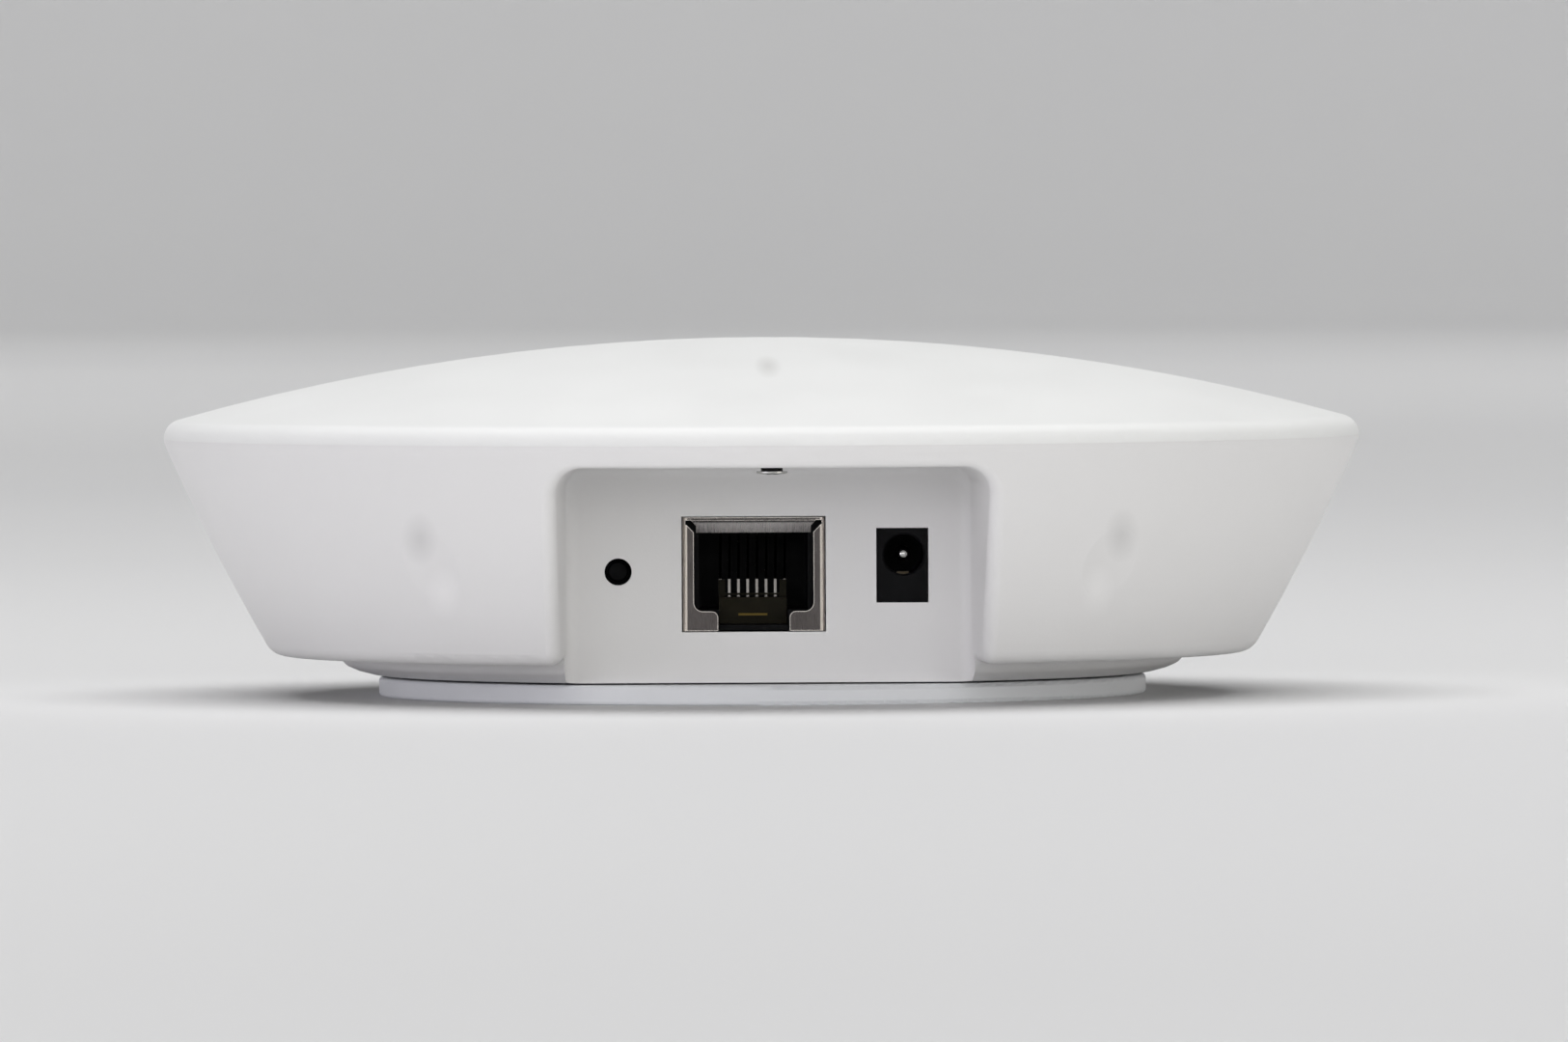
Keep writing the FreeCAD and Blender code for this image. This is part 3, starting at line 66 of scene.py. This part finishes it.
class Surface:
    """A procedural material: one shader and the textures that feed it."""

    def __init__(self, name, tone, rough, metallic=0.0, specular=0.5, coat=0.0):
        self.material = bpy.data.materials.new(name)
        self.material.use_nodes = True
        self.tree = self.material.node_tree
        self.shader = self.tree.nodes["Principled BSDF"]
        self.shader.inputs["Base Color"].default_value = (*tone, 1)
        self.shader.inputs["Roughness"].default_value = rough
        self.shader.inputs["Metallic"].default_value = metallic
        self.shader.inputs["Specular IOR Level"].default_value = specular
        self.shader.inputs["Coat Weight"].default_value = coat
        self.place = self.node("ShaderNodeTexCoord").outputs["Object"]
        self.colour = None
        self.height = None
        self.tone = tone
        self.rough = rough

    def node(self, kind, **settings):
        made = self.tree.nodes.new(kind)
        for name, value in settings.items():
            setattr(made, name, value)
        return made

    def link(self, source, target):
        self.tree.links.new(source, target)

    def stretched(self, scale):
        """Object coordinates scaled unevenly, for grain that runs one way."""
        mapping = self.node("ShaderNodeMapping")
        mapping.inputs["Scale"].default_value = scale
        self.link(self.place, mapping.inputs["Vector"])
        return mapping.outputs["Vector"]

    def noise(self, scale, detail=3.0, roughness=0.55, vector=None):
        made = self.node("ShaderNodeTexNoise")
        made.inputs["Scale"].default_value = scale
        made.inputs["Detail"].default_value = detail
        made.inputs["Roughness"].default_value = roughness
        self.link(vector or self.place, made.inputs["Vector"])
        return made.outputs["Fac"]

    def cells(self, scale, feature="F1", vector=None):
        made = self.node("ShaderNodeTexVoronoi", feature=feature)
        made.inputs["Scale"].default_value = scale
        self.link(vector or self.place, made.inputs["Vector"])
        return made.outputs["Distance"]

    def ramp(self, axis, start, finish):
        """Mask that goes from 0 to 1 along an axis of the object, between two places."""
        split = self.node("ShaderNodeSeparateXYZ")
        self.link(self.place, split.inputs["Vector"])
        return self.mapped(split.outputs[axis], start, finish, 0.0, 1.0)

    def edges(self, reach):
        """Mask that is 1 along the edges of the shape, as wide as reach."""
        rounded = self.node("ShaderNodeBevel", samples=6)
        rounded.inputs["Radius"].default_value = reach
        across = self.node("ShaderNodeVectorMath", operation="DOT_PRODUCT")
        self.link(rounded.outputs["Normal"], across.inputs[0])
        self.link(self.node("ShaderNodeNewGeometry").outputs["Normal"], across.inputs[1])
        return self.mapped(across.outputs["Value"], 0.995, 0.93, 0.0, 1.0)

    def spot(self, centre, spread, strength):
        """Soft mask round a place; it fades out at the half widths given in spread."""
        offset = self.node("ShaderNodeVectorMath", operation="SUBTRACT")
        offset.inputs[1].default_value = centre
        self.link(self.place, offset.inputs[0])
        squeeze = self.node("ShaderNodeVectorMath", operation="DIVIDE")
        squeeze.inputs[1].default_value = spread
        self.link(offset.outputs["Vector"], squeeze.inputs[0])
        reach = self.node("ShaderNodeVectorMath", operation="LENGTH")
        self.link(squeeze.outputs["Vector"], reach.inputs[0])
        return self.mapped(reach.outputs["Value"], 1.0, 0.1, 0.0, strength)

    def mapped(self, source, low_in, high_in, low_out, high_out):
        made = self.node("ShaderNodeMapRange")
        made.inputs["From Min"].default_value = low_in
        made.inputs["From Max"].default_value = high_in
        made.inputs["To Min"].default_value = low_out
        made.inputs["To Max"].default_value = high_out
        self.link(source, made.inputs["Value"])
        return made.outputs["Result"]

    def maths(self, operation, first, second):
        made = self.node("ShaderNodeMath", operation=operation)
        for socket, value in zip(made.inputs, (first, second)):
            if isinstance(value, (int, float)):
                socket.default_value = value
            else:
                self.link(value, socket)
        return made.outputs["Value"]

    def tint(self, mask, tone):
        """Turn towards another tone where the mask is high."""
        mix = self.node("ShaderNodeMix", data_type="RGBA")
        if self.colour is None:
            mix.inputs["A"].default_value = (*self.tone, 1)
        else:
            self.link(self.colour, mix.inputs["A"])
        mix.inputs["B"].default_value = (*tone, 1)
        self.link(mask, mix.inputs["Factor"])
        self.colour = mix.outputs["Result"]
        self.link(self.colour, self.shader.inputs["Base Color"])

    def gloss(self, source, low_in, high_in, spread):
        """Let the gloss wander about its middle value with a texture."""
        low = max(self.rough - spread, 0.02)
        self.link(self.mapped(source, low_in, high_in, low, self.rough + spread),
                  self.shader.inputs["Roughness"])

    def relief(self, source, depth, strength=1.0):
        """Add a fine relief; depth is in metres."""
        bump = self.node("ShaderNodeBump")
        bump.inputs["Distance"].default_value = depth
        bump.inputs["Strength"].default_value = strength
        self.link(source, bump.inputs["Height"])
        if self.height is not None:
            self.link(self.height, bump.inputs["Normal"])
        self.height = bump.outputs["Normal"]
        self.link(self.height, self.shader.inputs["Normal"])


def shade(tone, factor):
    return tuple(min(channel * factor, 1.0) for channel in tone)


def moulded_plastic(name, tone, rough, grain):
    """Moulded plastic: spark-eroded grain, uneven gloss, dust and hairline scuffs."""
    surface = Surface(name, tone, rough, specular=0.2)
    surface.tint(surface.mapped(surface.noise(38, 4), 0.35, 0.75, 0.0, 0.6), shade(tone, 0.975))
    dust = surface.mapped(surface.cells(900), 0.045, 0.02, 0.0, 0.35)
    sparse = surface.mapped(surface.noise(120, 2), 0.56, 0.66, 0.0, 1.0)
    surface.tint(surface.maths("MULTIPLY", dust, sparse), shade(tone, 0.72))
    surface.gloss(surface.noise(85, 5, 0.6), 0.3, 0.7, 0.07)
    surface.relief(surface.noise(3600, 2, 0.5), grain)
    scuffs = surface.noise(140, 2, 0.4, surface.stretched((1.0, 9.0, 5.0)))
    surface.relief(surface.mapped(scuffs, 0.66, 0.7, 0.0, 1.0), -0.3 * grain, 0.5)
    return surface


def plated_sheet(name, tone, rough, direction=(1, 1, 30)):
    """Plated sheet metal: drawn lines, cloudy gloss and finger-dulled patches."""
    surface = Surface(name, tone, rough, metallic=1.0)
    lines = surface.noise(300, 3, 0.6, surface.stretched(direction))
    surface.gloss(lines, 0.3, 0.7, 0.1)
    surface.tint(surface.mapped(surface.noise(450, 3), 0.4, 0.75, 0.0, 0.6), shade(tone, 0.72))
    surface.relief(lines, 0.004 * MM)
    return surface


def dull_black(name, tone, rough):
    """Moulded black plastic with a faint grey bloom."""
    surface = Surface(name, tone, rough, specular=0.07)
    surface.tint(surface.mapped(surface.noise(260, 4), 0.45, 0.8, 0.0, 0.7), shade(tone, 2.0))
    surface.gloss(surface.noise(500, 3), 0.3, 0.7, 0.1)
    surface.relief(surface.noise(4500, 2), 0.012 * MM)
    return surface


def solder_mask(name, tone):
    """Green board lacquer over copper tracks and a fill weave."""
    surface = Surface(name, tone, 0.38, coat=0.4)
    tracks = surface.cells(170, "DISTANCE_TO_EDGE", surface.stretched((1.0, 2.6, 1.0)))
    surface.tint(surface.mapped(tracks, 0.035, 0.02, 0.0, 0.8), shade(tone, 1.9))
    surface.tint(surface.mapped(surface.cells(380), 0.12, 0.09, 0.0, 0.9), (0.62, 0.55, 0.32))
    surface.relief(surface.mapped(tracks, 0.05, 0.02, 0.0, 1.0), 0.03 * MM)
    surface.gloss(surface.noise(200, 3), 0.3, 0.7, 0.08)
    return surface


def marked_epoxy(name, tone):
    """Chip moulding compound: fine pits and a laser-dulled skin."""
    surface = Surface(name, tone, 0.55, specular=0.4)
    surface.tint(surface.mapped(surface.noise(700, 4), 0.5, 0.75, 0.0, 0.6), shade(tone, 1.8))
    surface.relief(surface.noise(5200, 3), 0.02 * MM)
    surface.gloss(surface.noise(300, 3), 0.3, 0.7, 0.12)
    return surface


def bare_aluminium(name, tone, rough, direction):
    """Extruded or drawn aluminium with draw lines and a slight oxide cloud."""
    surface = plated_sheet(name, tone, rough, direction)
    surface.tint(surface.mapped(surface.noise(90, 4), 0.5, 0.8, 0.0, 0.5), shade(tone, 0.8))
    return surface


def soft_filled(name, tone, rough):
    """Soft silicone or cable jacket: dusty, slightly lumpy."""
    surface = Surface(name, tone, rough, specular=0.3)
    surface.tint(surface.mapped(surface.noise(600, 4), 0.45, 0.8, 0.0, 0.6), shade(tone, 1.25))
    surface.relief(surface.noise(2600, 3), 0.03 * MM)
    surface.gloss(surface.noise(350, 2), 0.3, 0.7, 0.1)
    return surface


def clear_moulding(name, tone):
    """Clear polished acrylic with faint flow lines."""
    surface = Surface(name, tone, 0.08, specular=0.5)
    surface.shader.inputs["Transmission Weight"].default_value = 0.85
    surface.shader.inputs["IOR"].default_value = 1.49
    flow = surface.noise(220, 2, 0.5, surface.stretched((1, 1, 0.3)))
    surface.relief(flow, 0.02 * MM, 0.4)
    surface.gloss(flow, 0.3, 0.7, 0.04)
    return surface


def jack_plating():
    """Tin-plated jack shield, darkened by painted shade on its flat front, with painted
    highlights on the side bends, the flap and the edges.
    """
    # the dark base tone is painted shade on the flat front
    surface = plated_sheet("jack_nickel", (0.10, 0.09, 0.087), 0.28, (30, 1, 1))
    for outer, inward in ((shield_low[0], 1), (shield_high[0], -1)):
        start = outer + inward * BEND_HIGHLIGHT_WIDTH
        # painted highlight on each side bend
        bend_highlight = surface.ramp("X", start, start - inward * HIGHLIGHT_FADE)
        surface.tint(bend_highlight, (0.58, 0.53, 0.475))
    # painted highlight on the flap
    flap_highlight = surface.ramp("Y", shield_low[1] + HIGHLIGHT_FADE, shield_low[1] + 3 * HIGHLIGHT_FADE)
    surface.tint(flap_highlight, (0.95, 0.90, 0.88))
    # painted highlight along the edges
    surface.tint(surface.edges(EDGE_HIGHLIGHT_WIDTH), (0.85, 0.80, 0.74))
    return surface


def contact_plating():
    """Gilt contacts in a pale plated tone at their lower ends, with painted shade turning them
    near black further up.
    """
    surface = plated_sheet("contact_gold", (0.36, 0.34, 0.32), 0.2)
    # painted shade: near black above the lit lower ends
    surface.tint(surface.ramp("Z", contact_shade_start, contact_shade_start + CONTACT_SHADE_FADE), (0.006, 0.005, 0.004))
    return surface


def comb_plastic():
    """Dark amber comb with a painted highlight on the front of its ledge."""
    surface = dull_black("comb_amber", (0.013, 0.011, 0.005), 0.4)
    ledge_highlight = surface.ramp("Y", comb_front + LEDGE_HIGHLIGHT_DEPTH, comb_front + LEDGE_HIGHLIGHT_DEPTH / 2)
    # painted highlight on the ledge's front face
    surface.tint(ledge_highlight, (0.20, 0.14, 0.03))
    return surface


def screw_plating():
    """Zinc-plated steel, with painted shade turning the neck black where it stands in the bay
    roof.
    """
    surface = plated_sheet("screw_steel", (0.62, 0.62, 0.60), 0.3)
    neck_shade = surface.ramp("Z", screw_neck - NECK_SHADE_FADE, screw_neck + NECK_SHADE_FADE)
    # painted shade: the neck is tinted black
    surface.tint(neck_shade, (0.01, 0.01, 0.01))
    return surface


def cover_plastic():
    """Cover plastic, with a darker spot of painted shade over the hidden lamp's thin wall."""
    surface = moulded_plastic("cover_white", (0.88, 0.885, 0.875), 0.5, 0.006 * MM)
    # painted shade: a soft darker spot over the lamp's thin wall
    surface.tint(surface.spot(lamp_shade_spot, LAMP_SHADE_SPREAD, 0.5), (0.58, 0.575, 0.56))
    return surface


def housing_plastic():
    """Housing plastic; each sink mark gets painted shade above its middle and painted light
    below it.
    """
    tone = (0.85, 0.845, 0.84)
    surface = moulded_plastic("housing_white", tone, 0.45, 0.008 * MM)
    for side in (-1, 1):
        # painted shade above each sink mark and painted light below it
        for middle, factor in ((SINK_PAINTED_SHADE, 0.85), (SINK_PAINTED_LIGHT, 1.06)):
            centre = (side * middle.x, middle.y, middle.z)
            surface.tint(surface.spot(centre, SINK_PAINT_SPREAD, 1.0), shade(tone, factor))
    return surface


MATERIALS = {
    "bracket_white": lambda: moulded_plastic("bracket_white", (0.88, 0.90, 0.92), 0.5,
                                             0.012 * MM),
    "housing_white": housing_plastic,
    "cover_white": cover_plastic,
    "board_green": lambda: solder_mask("board_green", (0.03, 0.16, 0.08)),
    "screw_steel": screw_plating,
    "jack_nickel": jack_plating,
    "black_plastic": lambda: dull_black("black_plastic", (0.0035, 0.0035, 0.004), 0.5),
    "comb_amber": comb_plastic,
    "contact_gold": contact_plating,
    "pin_nickel": lambda: plated_sheet("pin_nickel", (0.50, 0.50, 0.49), 0.16),
    # painted shade: the brass is darkened to the tone it has in shade inside the jacks
    "contact_brass": lambda: plated_sheet("contact_brass", (0.12, 0.10, 0.07), 0.35),
    "can_tin": lambda: plated_sheet("can_tin", (0.72, 0.73, 0.74), 0.33, (25, 1, 1)),
    "chip_epoxy": lambda: marked_epoxy("chip_epoxy", (0.03, 0.03, 0.033)),
    "pad_silicone": lambda: soft_filled("pad_silicone", (0.38, 0.45, 0.55), 0.75),
    "sink_aluminium": lambda: bare_aluminium("sink_aluminium", (0.72, 0.73, 0.74), 0.36,
                                             (1, 25, 1)),
    "ferrite": lambda: marked_epoxy("ferrite", (0.06, 0.06, 0.065)),
    "bobbin_plastic": lambda: moulded_plastic("bobbin_plastic", (0.74, 0.67, 0.46), 0.45,
                                              0.01 * MM),
    "can_aluminium": lambda: bare_aluminium("can_aluminium", (0.78, 0.79, 0.80), 0.25,
                                            (1, 1, 25)),
    "cable_grey": lambda: soft_filled("cable_grey", (0.28, 0.28, 0.29), 0.5),
    "led_lens": lambda: clear_moulding("led_lens", (0.95, 0.95, 0.80)),
    "clear_guide": lambda: clear_moulding("clear_guide", (0.94, 0.96, 0.96)),
}


def dress(thing, surface):
    """Give every material slot of an object the same surface."""
    if not thing.data.materials:
        thing.data.materials.append(surface.material)
    for index in range(len(thing.data.materials)):
        thing.data.materials[index] = surface.material


surfaces = {slot: build() for slot, build in MATERIALS.items()}
for part in record["subparts"]:
    dress(nodes[part["node"]], surfaces[part["material_slot"]])


# ---------------------------------------------------------------- softened edges

EDGE_ROUNDS = {
    "mount_plate": 0.1,
    "rj45_shield": 0.09,
    "rj45_housing": 0.12,
    "rj45_comb": 0.05,
    "cover_lock_screw": 0.05,
    "dc_jack_body": 0.15,
    "reset_button": 0.08,
    "heat_sink": 0.15,
    "soc_chip": 0.1,
    "memory_chips": 0.1,
    "ethernet_transformer": 0.25,
    "poe_winding": 0.2,
    "poe_core": 0.15,
    "power_inductors": 0.3,
    "reset_switch_body": 0.12,
    "antenna_carrier_left": 0.2,
    "antenna_carrier_right": 0.2,
}


def soften(thing, width):
    """Small rounds on the moulded or stamped edges, and shading that follows them."""
    bevel = thing.modifiers.new("edge_round", "BEVEL")
    bevel.width = width * MM
    bevel.segments = 2
    bevel.limit_method = "ANGLE"
    bevel.angle_limit = math.radians(35)
    bevel.use_clamp_overlap = True
    bevel.harden_normals = False


for name, width in EDGE_ROUNDS.items():
    soften(nodes[name], width)


# ---------------------------------------------------------------- floor, lights and camera

FLOOR_RADIUS = 4.0
FLOOR_RINGS = (0.0, 0.5, 1.5, 2.7, FLOOR_RADIUS)
FLOOR_RISE = 1.4
FLOOR_SIDES = 96
CURVE_STEPS = 12


def pale_floor():
    """Round studio floor that curves up into a low wall on all sides."""
    profile = [(radius, 0.0) for radius in FLOOR_RINGS]
    for step in range(1, CURVE_STEPS + 1):
        turn = math.radians(90 * step / CURVE_STEPS)
        profile.append((FLOOR_RADIUS + FLOOR_RISE * math.sin(turn),
                        FLOOR_RISE * (1 - math.cos(turn))))
    vertices = [(0, 0, 0)]
    for radius, height in profile[1:]:
        for side in range(FLOOR_SIDES):
            angle = 2 * math.pi * side / FLOOR_SIDES
            vertices.append((radius * math.cos(angle), radius * math.sin(angle), height))
    faces = [(0, 1 + side, 1 + (side + 1) % FLOOR_SIDES) for side in range(FLOOR_SIDES)]
    for level in range(len(profile) - 2):
        low = 1 + level * FLOOR_SIDES
        high = low + FLOOR_SIDES
        for side in range(FLOOR_SIDES):
            after = (side + 1) % FLOOR_SIDES
            faces.append((low + side, high + side, high + after, low + after))
    mesh = bpy.data.meshes.new("studio_floor")
    mesh.from_pydata(vertices, [], faces)
    mesh.polygons.foreach_set("use_smooth", [True] * len(mesh.polygons))
    floor = bpy.data.objects.new("studio_floor", mesh)
    bpy.context.collection.objects.link(floor)
    paint = Surface("floor_paint", (0.77, 0.77, 0.77), 0.7, specular=0.2)
    paint.tint(paint.mapped(paint.noise(1.5, 2), 0.3, 0.8, 0.0, 1.0), (0.75, 0.75, 0.755))
    mesh.materials.append(paint.material)


NEUTRAL = (1.0, 1.0, 1.0)
COOL = (0.93, 0.88, 1.0)
WARM = (1.0, 0.95, 0.87)
LOW_BOX = (1.6, 0.36)
BACKDROP_LIGHTS = 6
BACKDROP_REACH = 2.2
BACKDROP_HEIGHT = Vector((0, 0, 2.4))
BACKDROP_AIM = 6.0


def softbox(name, place, target, size, power, tint):
    """Rectangular area light, aimed at a target and hidden from the camera."""
    lamp = bpy.data.lights.new(name, "AREA")
    lamp.shape = "RECTANGLE"
    lamp.size, lamp.size_y = size
    lamp.energy = power
    lamp.color = tint
    holder = bpy.data.objects.new(name, lamp)
    holder.location = place
    aim = Vector(target) - Vector(place)
    holder.rotation_euler = aim.to_track_quat("-Z", "Y").to_euler()
    holder.visible_camera = False
    bpy.context.collection.objects.link(holder)


def studio_light():
    """Soft light from above and in front, low tinted fills, and a ring that lights the wall."""
    world = bpy.data.worlds.new("studio")
    world.use_nodes = True
    world.node_tree.nodes["Background"].inputs["Color"].default_value = (0.96, 0.97, 1.0, 1)
    world.node_tree.nodes["Background"].inputs["Strength"].default_value = 0.05
    bpy.context.scene.world = world
    centre = (0, 0, dome_top / 2)
    softbox("softbox_above", (0.0, 0.1, 1.8), centre, (2.4, 2.0), 39, NEUTRAL)
    softbox("softbox_front", (0.0, -2.6, 0.9), centre, (2.6, 1.3), 17, NEUTRAL)
    softbox("softbox_left", (-2.1, -1.5, 0.22), centre, LOW_BOX, 9.5, COOL)
    softbox("softbox_right", (2.1, -1.5, 0.22), centre, LOW_BOX, 6, WARM)
    for index in range(BACKDROP_LIGHTS):
        turn = 2 * math.pi * index / BACKDROP_LIGHTS
        outward = Vector((math.sin(turn), math.cos(turn), 0))
        softbox(f"backdrop_{index}", outward * BACKDROP_REACH + BACKDROP_HEIGHT,
                outward * BACKDROP_AIM, (2.4, 1.2), 44, NEUTRAL)


# Camera: metres for its reach and height, degrees for its turns, millimetres for the lens.
CAMERA_REACH = 2.0
EYE_HEIGHT = 0.0616
CAMERA_AZIMUTH = -1.15
AIM_RIGHT = 0.0715
PITCH_DOWN = 1.21
ROLL = 0.25
LENS = 409.4


def photo_camera():
    """A long lens two metres away, almost level with the rim."""
    data = bpy.data.cameras.new("camera")
    data.lens = LENS
    data.sensor_width = 36.0
    data.clip_end = 50.0
    camera = bpy.data.objects.new("camera", data)
    bpy.context.collection.objects.link(camera)
    turn = math.radians(CAMERA_AZIMUTH)
    camera.matrix_world = (
        Matrix.Translation((CAMERA_REACH * math.sin(turn), -CAMERA_REACH * math.cos(turn),
                            EYE_HEIGHT))
        @ Matrix.Rotation(turn - math.radians(AIM_RIGHT), 4, "Z")
        @ Matrix.Rotation(math.radians(90 - PITCH_DOWN), 4, "X")
        @ Matrix.Rotation(-math.radians(ROLL), 4, "Z"))
    bpy.context.scene.camera = camera


pale_floor()
studio_light()
photo_camera()
bpy.context.scene.view_settings.view_transform = "Standard"
bpy.context.scene.view_settings.look = "None"
